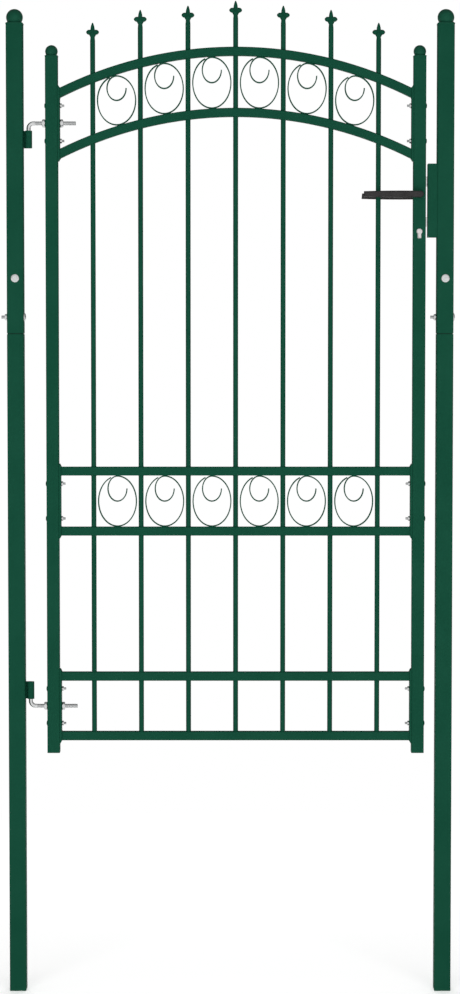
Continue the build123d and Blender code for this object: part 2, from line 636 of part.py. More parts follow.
# Spindle through the case, and a lever on each end of it
LEVER_BACK = STILE_SIZE / 2 + LEVER_GAP
LEVER_GRIP = LEVER_BACK + LEVER_STANDOFF
with BuildPart() as lever_spindle:
    with BuildSketch(Plane.XZ):
        with Locations((LOCK_STILE_X, LEVER_Z)):
            Rectangle(SPINDLE_SIZE, SPINDLE_SIZE)
    extrude(amount=LEVER_BACK + SPINDLE_IN_LEVER, both=True)
save(lever_spindle, "lever_spindle")


def lever(side):
    """Lever handle: round neck off the stile and a long grip, fuller in its middle, its end cut at a slant;
    side is 1 or -1 along Y."""
    front = Plane.XZ if side < 0 else Plane(origin=(0, 0, 0), x_dir=(-1, 0, 0), z_dir=(0, 1, 0))
    across = 1 if side < 0 else -1
    root = (across * LOCK_STILE_X, LEVER_Z)
    root_radius = LEVER_ROOT_HEIGHT / 2
    root_top = (root[0], LEVER_Z + root_radius)
    root_bottom = (root[0], LEVER_Z - root_radius)
    middle_x = root[0] - across * LEVER_LENGTH / 2
    tip_top = (root[0] - across * (LEVER_LENGTH - LEVER_TIP_SLANT), LEVER_Z + LEVER_TIP_HEIGHT / 2)
    tip_bottom = (root[0] - across * LEVER_LENGTH, LEVER_Z - LEVER_TIP_HEIGHT / 2)
    with BuildPart() as handle:
        with BuildSketch(front.offset(LEVER_GRIP)):
            with BuildLine():
                ThreePointArc(root_top, (middle_x, LEVER_Z + LEVER_MIDDLE_HEIGHT / 2), tip_top)
                Line(tip_top, tip_bottom)
                ThreePointArc(tip_bottom, (middle_x, LEVER_Z - LEVER_MIDDLE_HEIGHT / 2), root_bottom)
                ThreePointArc(root_bottom, (root[0] + across * root_radius, LEVER_Z), root_top)
            make_face()
        extrude(amount=LEVER_THICKNESS)
        back_face, front_face = handle.faces().filter_by(Plane.XZ).sort_by(Axis.Y, reverse=side < 0)
        fillet(front_face.edges(), radius=LEVER_FRONT_ROUND)
        back_face = handle.faces().filter_by(Plane.XZ).sort_by(Axis.Y, reverse=side < 0)[0]
        fillet(back_face.edges(), radius=LEVER_BACK_ROUND)
        with BuildSketch(front.offset(LEVER_BACK)):
            with Locations(root):
                Circle(LEVER_NECK_DIAMETER / 2)
        extrude(amount=LEVER_STANDOFF + LEVER_THICKNESS / 2)
        with BuildSketch(front.offset(LEVER_BACK)):
            with Locations(root):
                Rectangle(SPINDLE_SIZE + 2 * SPINDLE_FIT, SPINDLE_SIZE + 2 * SPINDLE_FIT)
        extrude(amount=SPINDLE_IN_LEVER + SPINDLE_FIT, mode=Mode.SUBTRACT)
    return handle


save(lever(-1), "front_lever")
save(lever(1), "back_lever")

# Keeper: channel whose web faces the forend and whose flanges are welded to the lock post
KEEPER_FACE_X = LOCK_STILE_OUTER_X + KEEPER_GAP
KEEPER_REACH = LOCK_POST_INNER_X - KEEPER_FACE_X
KEEPER_DEPTH = POST_SIZE - 2 * POST_CORNER
with BuildPart() as lock_keeper:
    with BuildSketch(Plane.XY.offset(KEEPER_BOTTOM_Z)):
        with Locations((KEEPER_FACE_X, 0)):
            Rectangle(KEEPER_REACH, KEEPER_DEPTH, align=(Align.MIN, Align.CENTER))
        with Locations((KEEPER_FACE_X + KEEPER_WALL, 0)):
            Rectangle(
                KEEPER_REACH,
                KEEPER_DEPTH - 2 * KEEPER_WALL,
                align=(Align.MIN, Align.CENTER),
                mode=Mode.SUBTRACT,
            )
    extrude(amount=KEEPER_TOP_Z - KEEPER_BOTTOM_Z)
    for bottom, height, thickness in (
        (LATCH_BOTTOM_Z, LATCH_HEIGHT, LATCH_THICKNESS),
        (DEAD_BOLT_BOTTOM_Z, DEAD_BOLT_HEIGHT, DEAD_BOLT_THICKNESS),
    ):
        with Locations((KEEPER_FACE_X, 0, bottom + height / 2)):
            Box(
                2 * KEEPER_WALL + CUT_OVERRUN,
                thickness + 2 * POCKET_CLEARANCE,
                height + 2 * POCKET_CLEARANCE,
                mode=Mode.SUBTRACT,
            )
save(lock_keeper, "lock_keeper")
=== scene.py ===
import json
from math import asin, ceil, cos, pi, radians, sin, sqrt, tan

import bmesh
import bpy
from mathutils import Matrix, Vector


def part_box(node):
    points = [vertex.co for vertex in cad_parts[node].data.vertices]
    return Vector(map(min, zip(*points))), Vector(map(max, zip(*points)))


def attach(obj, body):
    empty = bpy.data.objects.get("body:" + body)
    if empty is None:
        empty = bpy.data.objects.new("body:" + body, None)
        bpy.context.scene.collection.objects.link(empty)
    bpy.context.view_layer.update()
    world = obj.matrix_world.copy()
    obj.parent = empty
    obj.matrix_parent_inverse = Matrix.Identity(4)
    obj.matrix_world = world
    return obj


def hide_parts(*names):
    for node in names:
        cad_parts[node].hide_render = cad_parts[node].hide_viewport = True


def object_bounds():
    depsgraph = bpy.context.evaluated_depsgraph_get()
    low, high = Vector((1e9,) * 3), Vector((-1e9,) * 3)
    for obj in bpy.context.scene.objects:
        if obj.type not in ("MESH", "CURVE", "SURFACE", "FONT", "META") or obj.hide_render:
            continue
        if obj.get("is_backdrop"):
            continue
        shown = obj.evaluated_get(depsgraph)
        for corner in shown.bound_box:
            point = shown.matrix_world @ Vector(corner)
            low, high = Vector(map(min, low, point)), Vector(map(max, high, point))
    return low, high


# Arched garden gate: finishes, fasteners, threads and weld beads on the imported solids, in metres.
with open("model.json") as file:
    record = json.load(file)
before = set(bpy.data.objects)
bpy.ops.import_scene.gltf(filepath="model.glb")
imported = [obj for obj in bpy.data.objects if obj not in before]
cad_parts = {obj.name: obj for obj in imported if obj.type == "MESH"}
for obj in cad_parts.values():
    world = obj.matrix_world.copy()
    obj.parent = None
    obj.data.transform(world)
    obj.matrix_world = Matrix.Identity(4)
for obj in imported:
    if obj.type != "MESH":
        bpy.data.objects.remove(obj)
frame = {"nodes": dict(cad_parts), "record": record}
cad_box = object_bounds()
scene = bpy.context.scene
scene.view_settings.view_transform = "Standard"

# Camera, worked out from the photograph's straight edges
CAMERA_PLACE = (0.515, -6.3867, 1.554)
CAMERA_TILT_DEG = 86.844
CAMERA_LENS_MM = 95.99

# Studio: the lift brings the floor's own light near the posts up to white
FLOOR_SIZE = 60.0
FLOOR_SEGMENTS = 8
FLOOR_GREYS = ((0.78, 0.78, 0.78), (0.8, 0.8, 0.8))
FLOOR_CLOUD_SCALE = 3.0
FLOOR_ROUGHNESS = 0.9
FLOOR_LIFT = 2.4
SHADOW_REACH = 2.5
SHADOW_SHARE = 0.8
LAMP_SIZE = 3.0
LAMP_DISTANCE = 5.0
LAMP_SIDE_DEG = 15.0
HALF_TURN_DEG = 180.0
LAMP_HEIGHT = 1.3
FRONT_LAMP_WATTS = 98.0
BACK_LAMP_WATTS = 80.0
AMBIENT_STRENGTH = 0.15
WHITE = (1.0, 1.0, 1.0, 1.0)
REFLECTED_FRONT = 1.0
REFLECTED_SIDE = 0.45
REFLECTED_BACK = 0.12

# Bolts at the post joints: a round head on one side, a nut and a thread end on the other
POST_BOLT_DIAMETER = 0.008
POST_BOLT_HEAD_DIAMETER = 0.0206
POST_BOLT_HEAD_HEIGHT = 0.0046
POST_BOLT_NUT_FLATS = 0.013
POST_BOLT_NUT_HEIGHT = 0.0062
POST_BOLT_END = 0.0142
FRONT_BOLT_ABOVE_JOINT = 0.1334
SIDE_BOLT_ABOVE_JOINT = 0.0407

# Bolts that hold the rail panels to the stiles
PANEL_BOLT_DIAMETER = 0.006
PANEL_BOLT_HEAD_DIAMETER = 0.0125
PANEL_BOLT_HEAD_HEIGHT = 0.0027
PANEL_BOLT_NUT_FLATS = 0.010
PANEL_BOLT_NUT_HEIGHT = 0.005
PANEL_BOLT_END = 0.0105
PANEL_BOLT_SPREAD = 0.042

# Threaded hinge rods and their nuts
ROD_BEND_RADIUS = 0.012
ROD_PLAIN_AFTER_BEND = 0.004
ROD_NUT_FLATS = 0.017
ROD_NUT_HEIGHT = 0.008

# Shape of threads, nuts, heads and weld beads, as shares of their sizes where the names say so
THREAD_PITCH_SHARE = 0.16
THREAD_DEPTH_SHARE = 0.08
THREAD_PHASE_SHARES = (0.0, 0.4, 0.6)
THREAD_MERGE_SHARE = 1e-3
NUT_CHAMFER_SHARE = 0.12
NUT_FACE_SHARE = 0.97
NUT_BEND_SHARE = 0.45
HEAD_EDGE_SHARE = 0.2
BEAD_RADIUS = 0.0013
BEAD_RIPPLE = 0.0028
BEAD_RIPPLE_SHARE = 0.16
SOCKET_WEB = 0.004
SCROLL_BEAD_OFFSET = 0.0024
PICKET_BEAD_RADIUS = 0.001
KEEPER_STITCH_SHARE = 0.16
RAIL_CORNER_SHARE = 0.1
BEAD_STEP = 0.0007
MERGE_DISTANCE = 1e-7
SHARP_EDGE_DEG = 35.0

# Forend screws and the rings round the cylinder's plug
FOREND_SCREW_DIAMETER = 0.007
FOREND_SCREW_INSET = 0.007
SCREW_RISE = 0.0004
SCREW_SOCKET_SHARE = 0.5
PLUG_RING_DIAMETER = 0.0098
PLUG_RING_WIDTH = 0.0007
PLUG_RING_RISE = 0.0003

# Pickets
PICKET_COUNT = 7
PICKET_DIAMETER = 0.012

# Sides and steps of round shapes
HEAD_SIDES = 40
HEAD_STEPS = 7
NUT_SIDES = 48
THREAD_SIDES = 20
ROD_SIDES = 28
ROD_BEND_STEPS = 12
BEAD_SIDES = 8
PICKET_BEAD_SIDES = 6
PICKET_LOOP_STEPS = 40
SCREW_SIDES = 36
PLUG_RING_SIDES = 48
CORNER_STEPS = 5

# Part of a noise's range that colours and numbers follow
COLOUR_SPAN = (0.35, 0.65)
NUMBER_SPAN = (0.3, 0.7)

# Axes of the frame
X_AXIS = Vector((1.0, 0.0, 0.0))
Y_AXIS = Vector((0.0, 1.0, 0.0))
Z_AXIS = Vector((0.0, 0.0, 1.0))


# Materials

def material_nodes(name):
    """New node material; returns it with its node tree and its shader."""
    material = bpy.data.materials.new(name)
    material.use_nodes = True
    tree = material.node_tree
    return material, tree, tree.nodes["Principled BSDF"]


def noise(tree, scale, detail=2.0, stretch=(1.0, 1.0, 1.0)):
    """Noise that stays with the piece, drawn out along an axis by a small stretch value."""
    place = tree.nodes.new("ShaderNodeTexCoord")
    mapping = tree.nodes.new("ShaderNodeMapping")
    mapping.inputs["Scale"].default_value = stretch
    texture = tree.nodes.new("ShaderNodeTexNoise")
    texture.inputs["Scale"].default_value = scale
    texture.inputs["Detail"].default_value = detail
    tree.links.new(place.outputs["Object"], mapping.inputs["Vector"])
    tree.links.new(mapping.outputs["Vector"], texture.inputs["Vector"])
    return texture.outputs[0]


def ramp(tree, value, low, high):
    """Colour that runs from low to high with the value."""
    node = tree.nodes.new("ShaderNodeValToRGB")
    for element, position, colour in zip(node.color_ramp.elements, COLOUR_SPAN, (low, high)):
        element.position = position
        element.color = (*colour, 1.0)
    tree.links.new(value, node.inputs["Fac"])
    return node.outputs["Color"]


def spread(tree, value, low, high):
    """Number that runs from low to high with a noise value."""
    node = tree.nodes.new("ShaderNodeMapRange")
    node.inputs["From Min"].default_value = NUMBER_SPAN[0]
    node.inputs["From Max"].default_value = NUMBER_SPAN[1]
    node.inputs["To Min"].default_value = low
    node.inputs["To Max"].default_value = high
    tree.links.new(value, node.inputs["Value"])
    return node.outputs["Result"]


def bump(tree, shader, height, depth, strength):
    """Fine surface relief of a depth in metres."""
    node = tree.nodes.new("ShaderNodeBump")
    node.inputs["Strength"].default_value = strength
    node.inputs["Distance"].default_value = depth
    tree.links.new(height, node.inputs["Height"])
    tree.links.new(node.outputs["Normal"], shader.inputs["Normal"])


def mottled(name, colours, cloud, rough, grain, specular=None, metallic=None):
    """Finish with a clouded colour, uneven roughness and a fine grain."""
    material, tree, shader = material_nodes(name)
    colour = ramp(tree, noise(tree, cloud["scale"], cloud["detail"]), *colours)
    tree.links.new(colour, shader.inputs["Base Color"])
    roughness = spread(tree, noise(tree, rough["scale"]), rough["low"], rough["high"])
    tree.links.new(roughness, shader.inputs["Roughness"])
    if specular is not None:
        shader.inputs["Specular IOR Level"].default_value = specular
    if metallic is not None:
        shader.inputs["Metallic"].default_value = metallic
    bump(tree, shader, noise(tree, grain["scale"], grain["detail"]), grain["depth"], grain["strength"])
    return material


def green_coat():
    """Satin powder coat with a fine orange peel and slight cloudiness."""
    return mottled(
        "green_coat",
        colours=((0.0075, 0.0722, 0.0408), (0.0094, 0.0802, 0.0459)),
        cloud={"scale": 9.0, "detail": 3.0},
        rough={"scale": 60.0, "low": 0.46, "high": 0.58},
        grain={"scale": 700.0, "detail": 1.0, "depth": 0.00004, "strength": 0.5},
        specular=0.03,
    )


def green_cap():
    """Moulded cap in about the same green, a little smoother and glossier than the coat."""
    return mottled(
        "green_cap",
        colours=((0.0074, 0.0738, 0.0418), (0.0090, 0.0818, 0.0463)),
        cloud={"scale": 25.0, "detail": 2.0},
        rough={"scale": 180.0, "low": 0.38, "high": 0.48},
        grain={"scale": 1500.0, "detail": 1.0, "depth": 0.00002, "strength": 0.4},
        specular=0.09,
    )


def zinc_plate():
    """Bright zinc plate, softly mottled."""
    return mottled(
        "zinc_plate",
        colours=((0.60, 0.61, 0.615), (0.72, 0.725, 0.72)),
        cloud={"scale": 260.0, "detail": 3.0},
        rough={"scale": 420.0, "low": 0.16, "high": 0.28},
        grain={"scale": 1800.0, "detail": 1.0, "depth": 0.00002, "strength": 0.4},
        metallic=1.0,
    )


def dark_lever():
    """Dark grey satin lever with a fine moulded grain."""
    return mottled(
        "dark_lever",
        colours=((0.0305, 0.0288, 0.0292), (0.0425, 0.0405, 0.0409)),
        cloud={"scale": 40.0, "detail": 3.0},
        rough={"scale": 220.0, "low": 0.38, "high": 0.5},
        grain={"scale": 2200.0, "detail": 2.0, "depth": 0.00003, "strength": 0.5},
        specular=0.1,
    )


def black_sleeve():
    """Black moulded sleeve inside the post joint; its near-black colour is also painted shade for the
    gap between the post tubes.
    """
    return mottled(
        "black_sleeve",
        colours=((0.004, 0.004, 0.004), (0.006, 0.006, 0.006)),
        cloud={"scale": 60.0, "detail": 2.0},
        rough={"scale": 200.0, "low": 0.5, "high": 0.6},
        grain={"scale": 1500.0, "detail": 1.0, "depth": 0.00002, "strength": 0.4},
        specular=0.1,
    )


def nickel_plate():
    """Nickel plate with fine upright brushing and a slightly warm tone."""
    material, tree, shader = material_nodes("nickel_plate")
    brushing = noise(tree, scale=900.0, detail=2.0, stretch=(1.0, 1.0, 0.06))
    colour = ramp(tree, brushing, low=(0.68, 0.655, 0.645), high=(0.82, 0.79, 0.78))
    tree.links.new(colour, shader.inputs["Base Color"])
    tree.links.new(spread(tree, brushing, low=0.24, high=0.38), shader.inputs["Roughness"])
    shader.inputs["Metallic"].default_value = 1.0
    bump(tree, shader, brushing, depth=0.00001, strength=0.4)
    return material


finishes = (green_coat, green_cap, zinc_plate, dark_lever, black_sleeve, nickel_plate)
materials = {finish.__name__: finish() for finish in finishes}

for part in frame["record"]["subparts"]:
    mesh = frame["nodes"][part["node"]].data
    mesh.materials.clear()
    mesh.materials.append(materials[part["material_slot"]])


# Shapes

def piece(name, bm, body, slot):
    """Make the mesh one object that rides on a body and takes a slot's finish."""
    bmesh.ops.recalc_face_normals(bm, faces=bm.faces)
    mesh = bpy.data.meshes.new(name)
    bm.to_mesh(mesh)
    bm.free()
    mesh.shade_smooth()
    mesh.set_sharp_from_angle(angle=radians(SHARP_EDGE_DEG))
    mesh.materials.append(materials[slot])
    made = bpy.data.objects.new(name, mesh)
    scene.collection.objects.link(made)
    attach(made, body)
    return made


def pointing(place, direction):
    """Placement whose Z axis points along the direction."""
    turned = Vector(direction).to_track_quat("Z", "Y")
    return Matrix.Translation(place) @ turned.to_matrix().to_4x4()


def join_rings(bm, rings):
    """Skin of quads between rings of equal count."""
    for lower, upper in zip(rings, rings[1:]):
        for i in range(len(lower)):
            j = (i + 1) % len(lower)
            bm.faces.new((lower[i], lower[j], upper[j], upper[i]))


def turned_ring(bm, place, radius_at, height, sides):
    """Ring of vertices whose radius may follow the angle."""
    ring = []
    for i in range(sides):
        angle = 2 * pi * i / sides
        radius = radius_at(angle)
        ring.append(bm.verts.new(place @ Vector((radius * cos(angle), radius * sin(angle), height))))
    return ring


def round_rings(bm, place, profile, sides):
    """Round rings at (radius, height) points."""
    rings = []
    for radius, height in profile:
        rings.append(turned_ring(bm, place, lambda angle, r=radius: r, height, sides))
    return rings


def hex_radius(half_flats, angle):
    """Distance from a hexagon's middle to its side at an angle."""
    from_flat = (angle + pi / 6) % (pi / 3) - pi / 6
    return half_flats / cos(from_flat)


def turn(bm, place, profile, sides):
    """Closed turned solid from (radius, height) points."""
    rings = round_rings(bm, place, profile, sides)
    join_rings(bm, rings)
    bm.faces.new(rings[0])
    bm.faces.new(rings[-1])


def dome_head(bm, place, diameter, height):
    """Low round bolt head with a short straight edge."""
    edge = height * HEAD_EDGE_SHARE
    profile = [(diameter / 2, 0.0)]
    for i in range(HEAD_STEPS):
        angle = i / HEAD_STEPS * pi / 2
        profile.append((diameter / 2 * cos(angle), edge + (height - edge) * sin(angle)))
    turn(bm, place, profile, HEAD_SIDES)


def hex_nut(bm, place, flats, height, bore):
    """Hexagon nut with both ends chamfered and an open bore."""
    chamfer = flats * NUT_CHAMFER_SHARE
    corner = flats / 2 / cos(pi / 6)

    def outline(limit):
        return lambda angle: min(hex_radius(flats / 2, angle), limit)

    face_limit = flats / 2 * NUT_FACE_SHARE
    levels = (
        (lambda angle: bore / 2, 0.0),
        (outline(face_limit), 0.0),
        (outline((face_limit + corner) / 2), chamfer * NUT_BEND_SHARE),
        (outline(corner), chamfer),
        (outline(corner), height - chamfer),
        (outline((face_limit + corner) / 2), height - chamfer * NUT_BEND_SHARE),
        (outline(face_limit), height),
        (lambda angle: bore / 2, height),
        (lambda angle: bore / 2, 0.0),
    )
    rings = [turned_ring(bm, place, radius_at, level, NUT_SIDES) for radius_at, level in levels]
    join_rings(bm, rings)
    bmesh.ops.remove_doubles(bm, verts=rings[0] + rings[-1], dist=MERGE_DISTANCE)


def screw_thread(bm, place, diameter, length, sides=THREAD_SIDES):
    """Threaded bar along Z: rows of vertices climb with the thread, and both ends are flat."""
    pitch = diameter * THREAD_PITCH_SHARE
    radii = (diameter / 2 * (1 - 2 * THREAD_DEPTH_SHARE), diameter / 2, diameter / 2)
    turns = ceil(length / pitch) + 1
    columns = []
    for column in range(sides + 1):
        angle = 2 * pi * column / sides
        points = []
        for row in range(-1, turns):
            for radius, phase in zip(radii, THREAD_PHASE_SHARES):
                height = min(max((row + phase + column / sides) * pitch, 0.0), length)
                point = Vector((radius * cos(angle), radius * sin(angle), height))
                points.append(bm.verts.new(place @ point))
        columns.append(points)
    for left, right in zip(columns, columns[1:]):
        for i in range(len(left) - 1):
            bm.faces.new((left[i], right[i], right[i + 1], left[i + 1]))
    made = [v for points in columns for v in points]
    bmesh.ops.remove_doubles(bm, verts=made, dist=diameter * THREAD_MERGE_SHARE)
    end_radius = radii[0]
    for height in (0.0, length):
        turn(bm, place, [(end_radius, height), (end_radius / 2, height)], sides)


def round_bar(bm, points, normal, radii, closed, sides):
    """Round bar along points, with a radius at each; normal is square to the line they follow."""
    count = len(points)
    rings = []
    for i, point in enumerate(points):
        ahead = points[(i + 1) % count] if closed or i < count - 1 else point
        behind = points[i - 1] if closed or i > 0 else point
        tangent = (ahead - behind).normalized()
        side = tangent.cross(normal).normalized()
        up = side.cross(tangent)
        ring = []
        for k in range(sides):
            angle = 2 * pi * k / sides
            ring.append(bm.verts.new(point + radii[i] * (side * cos(angle) + up * sin(angle))))
        rings.append(ring)
    join_rings(bm, rings + rings[:1] if closed else rings)
    if not closed:
        bm.faces.new(rings[0])
        bm.faces.new(rings[-1])


def bead(bm, points, normal, radius=BEAD_RADIUS, closed=True, sides=BEAD_SIDES):
    """Rippled weld bead along evenly spaced points."""
    step = (points[1] - points[0]).length
    ripples = [sin(2 * pi * i * step / BEAD_RIPPLE) for i in range(len(points))]
    radii = [radius * (1 + BEAD_RIPPLE_SHARE * ripple) for ripple in ripples]
    round_bar(bm, points, normal, radii, closed, sides)


def straight_run(start, end):
    """Evenly spaced points from start up to, but not at, the end."""
    start = Vector(start)
    end = Vector(end)
    count = max(2, round((end - start).length / BEAD_STEP))
    return [start.lerp(end, i / count) for i in range(count)]


# Places taken from the frame

def middle(box):
    """Centre of a box."""
    return (box[0] + box[1]) / 2


boxes = {node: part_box(node) for node in frame["nodes"]}
post_boxes = [boxes["hinge_post_upper_tube"], boxes["lock_post_upper_tube"]]
post_size = post_boxes[0][1].x - post_boxes[0][0].x
joint_z = boxes["hinge_post_lower_tube"][1].z
hinge_stile = boxes["hinge_stile"]
lock_stile = boxes["lock_stile"]
hinge_plates = boxes["hinge_side_plates"]
lower_base_rail = boxes["lower_base_rail"]
rail_size = lower_base_rail[1].z - lower_base_rail[0].z
rail_pitch = boxes["upper_base_rail"][0].z - lower_base_rail[0].z
base_z = lower_base_rail[0].z + (rail_size + rail_pitch) / 2
middle_z = middle(boxes["lower_middle_rail"]).z + rail_pitch / 2
arch_z = hinge_plates[1].z - (base_z - hinge_plates[0].z)
picket_radius = PICKET_DIAMETER / 2
picket_xs = [middle(boxes[f"picket_{number + 1}"]).x for number in range(PICKET_COUNT)]
picket_pitch = picket_xs[1] - picket_xs[0]
leaf_x = picket_xs[PICKET_COUNT // 2]


def arch_circle(node):
    """Radius of an arched rail's middle line, and the height of its centre, from the rail's box."""
    low, high = boxes[node]
    half_span = (high.x - low.x) / 2
    tall = high.z - low.z
    radius = (tall**2 - rail_size * tall + half_span**2) / (2 * (tall - rail_size))
    return radius, high.z - rail_size / 2 - radius


def arch_face(node, side, x):
    """Height of an arched rail's upper (side 1) or lower (side -1) face at x."""
    radius, centre_z = arch_circle(node)
    return centre_z + sqrt((radius + side * rail_size / 2) ** 2 - (x - leaf_x) ** 2)


def rail_face(node, side, x):
    """Height of any rail's upper (side 1) or lower (side -1) face at x."""
    if "arch" in node:
        return arch_face(node, side, x)
    return boxes[node][1 if side > 0 else 0].z


RAILS = [f"{place}_{panel}_rail" for panel in ("base", "middle", "arch") for place in ("lower", "upper")]


# Fasteners

def through_bolt(heads, nuts, place, direction, grip, sizes):
    """Bolt with its head at place and its nut and thread end beyond the grip."""
    diameter, head_diameter, head_height, nut_flats, nut_height, end = sizes
    into = Vector(direction)
    far_face = pointing(Vector(place) + into * grip, into)
    dome_head(heads, pointing(place, -into), head_diameter, head_height)
    hex_nut(nuts, far_face, nut_flats, nut_height, diameter)
    screw_thread(nuts, far_face, diameter, end)


def post_bolts():
    """Two bolts through each post above its joint, one from the front and one from the side."""
    sizes = (
        POST_BOLT_DIAMETER,
        POST_BOLT_HEAD_DIAMETER,
        POST_BOLT_HEAD_HEIGHT,
        POST_BOLT_NUT_FLATS,
        POST_BOLT_NUT_HEIGHT,
        POST_BOLT_END,
    )
    for name, box in zip(("hinge_post_bolts", "lock_post_bolts"), post_boxes):
        bm = bmesh.new()
        front = (middle(box).x, box[0].y, joint_z + FRONT_BOLT_ABOVE_JOINT)
        through_bolt(bm, bm, front, Y_AXIS, post_size, sizes)
        side = (box[1].x, 0.0, joint_z + SIDE_BOLT_ABOVE_JOINT)
        through_bolt(bm, bm, side, -X_AXIS, post_size, sizes)
        piece(name, bm, "posts", "zinc_plate")


def panel_bolts():
    """Coated heads outside the stiles, plated nuts and thread ends inside."""
    sizes = (
        PANEL_BOLT_DIAMETER,
        PANEL_BOLT_HEAD_DIAMETER,
        PANEL_BOLT_HEAD_HEIGHT,
        PANEL_BOLT_NUT_FLATS,
        PANEL_BOLT_NUT_HEIGHT,
        PANEL_BOLT_END,
    )
    heads = bmesh.new()
    nuts = bmesh.new()
    grip = hinge_plates[1].x - hinge_stile[0].x
    for panel_z in (base_z, middle_z, arch_z):
        for z in (panel_z - PANEL_BOLT_SPREAD, panel_z + PANEL_BOLT_SPREAD):
            through_bolt(heads, nuts, (hinge_stile[0].x, 0.0, z), X_AXIS, grip, sizes)
            through_bolt(heads, nuts, (lock_stile[1].x, 0.0, z), -X_AXIS, grip, sizes)
    piece("panel_bolt_heads", heads, "leaf", "green_coat")
    piece("panel_bolt_nuts", nuts, "leaf", "zinc_plate")


def hinge_rod(node, name):
    """Bent rod with a plain pin and a threaded shank, in the place of the plain solid."""
    low, high = boxes[node]
    radius = (high.y - low.y) / 2
    axis_x = low.x + radius
    upward = node.startswith("lower")
    rod_z = low.z + radius if upward else high.z - radius
    pin_end_z = high.z if upward else low.z
    pin_way = 1 if upward else -1
    corner = Vector((axis_x + ROD_BEND_RADIUS, 0.0, rod_z + pin_way * ROD_BEND_RADIUS))
    path = [Vector((axis_x, 0.0, pin_end_z))]
    for i in range(ROD_BEND_STEPS + 1):
        angle = i / ROD_BEND_STEPS * pi / 2
        path.append(corner + ROD_BEND_RADIUS * Vector((-cos(angle), 0.0, -pin_way * sin(angle))))
    path.append(path[-1] + Vector((ROD_PLAIN_AFTER_BEND, 0.0, 0.0)))
    bm = bmesh.new()
    round_bar(bm, path, Y_AXIS, [radius] * len(path), False, ROD_SIDES)
    screw_thread(bm, pointing(path[-1], X_AXIS), 2 * radius, high.x - path[-1].x, ROD_SIDES)
    made = piece(name, bm, "leaf", "zinc_plate")
    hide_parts(node)


def hinge_nuts():
    """Chamfered nuts on both sides of the hinge stile, in the place of the plain ones."""
    rod = boxes["upper_hinge_rod"]
    bore = rod[1].y - rod[0].y
    bm = bmesh.new()
    for z in (base_z, arch_z):
        for x in (hinge_stile[0].x - ROD_NUT_HEIGHT, hinge_plates[1].x):
            hex_nut(bm, pointing((x, 0.0, z), X_AXIS), ROD_NUT_FLATS, ROD_NUT_HEIGHT, bore)
    made = piece("chamfered_hinge_nuts", bm, "leaf", "zinc_plate")
    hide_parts("hinge_nuts")


def forend_screws():
    """Two screws with hexagon sockets in the lock's forend."""
    low, high = boxes["lock_case"]
    bm = bmesh.new()
    radius = FOREND_SCREW_DIAMETER / 2

    def socket(angle):
        return hex_radius(radius * SCREW_SOCKET_SHARE, angle)

    levels = (
        (lambda angle: radius, 0.0),
        (lambda angle: radius, SCREW_RISE / 2),
        (lambda angle: radius - SCREW_RISE / 2, SCREW_RISE),
        (socket, SCREW_RISE),
        (socket, SCREW_RISE / 4),
    )
    for z in (low.z + FOREND_SCREW_INSET, high.z - FOREND_SCREW_INSET):
        place = pointing((high.x, 0.0, z), X_AXIS)
        rings = [turned_ring(bm, place, radius_at, level, SCREW_SIDES) for radius_at, level in levels]
        join_rings(bm, rings)
        bm.faces.new(rings[-1])
    piece("forend_screws", bm, "leaf", "nickel_plate")


def plug_rings():
    """Raised ring round the plug in each end of the cylinder."""
    low, high = boxes["lock_cylinder"]
    centre_z = high.z - (high.x - low.x) / 2
    outer = PLUG_RING_DIAMETER / 2
    inner = outer - PLUG_RING_WIDTH
    bm = bmesh.new()
    for y, outward in ((low.y, -Y_AXIS), (high.y, Y_AXIS)):
        place = pointing((middle((low, high)).x, y, centre_z), outward)
        section = ((outer, 0.0), (outer, PLUG_RING_RISE), (inner, PLUG_RING_RISE), (inner, 0.0))
        rings = round_rings(bm, place, section, PLUG_RING_SIDES)
        join_rings(bm, rings + rings[:1])
    piece("plug_rings", bm, "leaf", "nickel_plate")


# Welds

def square_loop(x, low_z, high_z, half_depth, corner):
    """Closed loop of points round an upright rectangle at x, with rounded corners."""
    points = []
    corners = (
        (half_depth - corner, low_z + corner, -pi / 2),
        (half_depth - corner, high_z - corner, 0.0),
        (-half_depth + corner, high_z - corner, pi / 2),
        (-half_depth + corner, low_z + corner, pi),
    )
    for i, (y, z, start) in enumerate(corners):
        arc = []
        for k in range(CORNER_STEPS + 1):
            angle = start + k / CORNER_STEPS * pi / 2
            arc.append(Vector((x, y + corner * cos(angle), z + corner * sin(angle))))
        next_y, next_z, next_start = corners[(i + 1) % len(corners)]
        next_point = Vector((x, next_y + corner * cos(next_start), next_z + corner * sin(next_start)))
        points += arc[:-1] + straight_run(arc[-1], next_point)
    return points


def rail_welds():
    """Bead round each end of each rail, on its end plate."""
    bm = bmesh.new()
    for node in RAILS:
        low, high = boxes[node]
        for x in (low.x, high.x):
            low_z = rail_face(node, -1, x)
            high_z = rail_face(node, 1, x)
            loop = square_loop(x, low_z, high_z, rail_size / 2, rail_size * RAIL_CORNER_SHARE)
            bead(bm, loop, X_AXIS)
    piece("rail_welds", bm, "leaf", "green_coat")


def picket_welds():
    """Bead round each picket where it goes through a rail's faces."""
    bm = bmesh.new()
    for node in RAILS:
        sides = (1,) if node == "lower_base_rail" else (1, -1)
        for side in sides:
            for x in picket_xs:
                loop = []
                for i in range(PICKET_LOOP_STEPS):
                    angle = 2 * pi * i / PICKET_LOOP_STEPS
                    at_x = x + picket_radius * cos(angle)
                    loop.append(Vector((at_x, picket_radius * sin(angle), rail_face(node, side, at_x))))
                bead(bm, loop, Z_AXIS, PICKET_BEAD_RADIUS, True, PICKET_BEAD_SIDES)
    piece("picket_welds", bm, "leaf", "green_coat")


